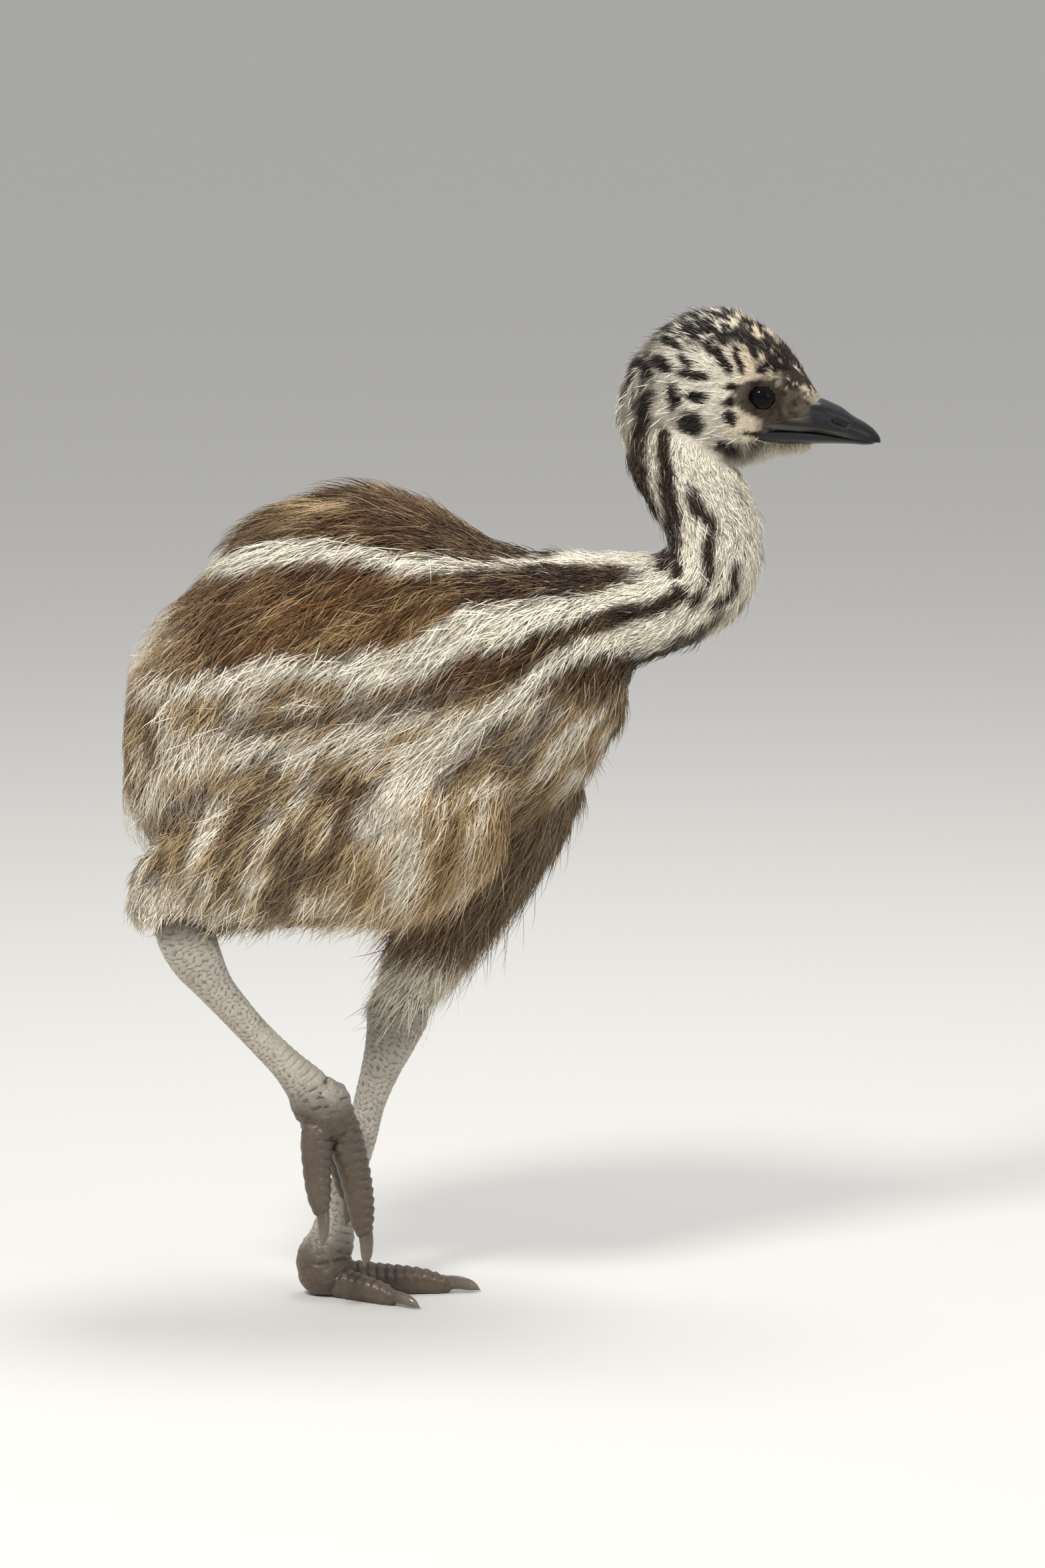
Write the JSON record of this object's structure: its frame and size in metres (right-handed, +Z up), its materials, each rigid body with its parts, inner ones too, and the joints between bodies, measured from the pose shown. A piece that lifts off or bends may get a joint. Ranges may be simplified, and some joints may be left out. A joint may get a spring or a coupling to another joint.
{
  "type": "emu chick",
  "caption": "Still, life-size emu chick in striped down, walking: it stands on its left foot, with the right foot lifted and hanging behind.",
  "frame": {"origin": "on the floor, under the middle of the whole model's box", "axes": "+X towards the bill, +Y to the bird's left, +Z up"},
  "size_m": [0.3506, 0.1414, 0.4661],
  "materials": {
    "down_pale": "matte down, pale buff with near-black spots and stripes",
    "down_striped": "matte down, rust brown and dark brown with cream stripes",
    "down_buff": "matte down, golden tan and cream",
    "eye": "wet gloss",
    "horn": "satin slate black",
    "leg_skin": "scaly, pale grey on the shank and grey brown on the toes",
    "claw": "satin horn grey"
  },
  "bodies": {
    "root": {"bill_lower": "horn", "bill_upper": "horn", "claw_left_inner": "claw", "claw_left_middle": "claw", "claw_left_outer": "claw", "claw_right_inner": "claw", "claw_right_middle": "claw", "claw_right_outer": "claw", "eye_left": "eye", "eye_right": "eye", "foot_left": "leg_skin", "foot_right": "leg_skin", "head": "down_pale", "neck_lower": "down_pale", "neck_middle": "down_pale", "neck_upper": "down_pale", "tail": "down_striped", "tarsus_left": "leg_skin", "tarsus_right": "leg_skin", "thigh_left": "down_buff", "thigh_right": "down_buff", "toe_left_inner": "leg_skin", "toe_left_middle": "leg_skin", "toe_left_outer": "leg_skin", "toe_right_inner": "leg_skin", "toe_right_middle": "leg_skin", "toe_right_outer": "leg_skin", "torso": "down_striped", "wing_left": "down_striped", "wing_right": "down_striped"}
  },
  "joints": []
}
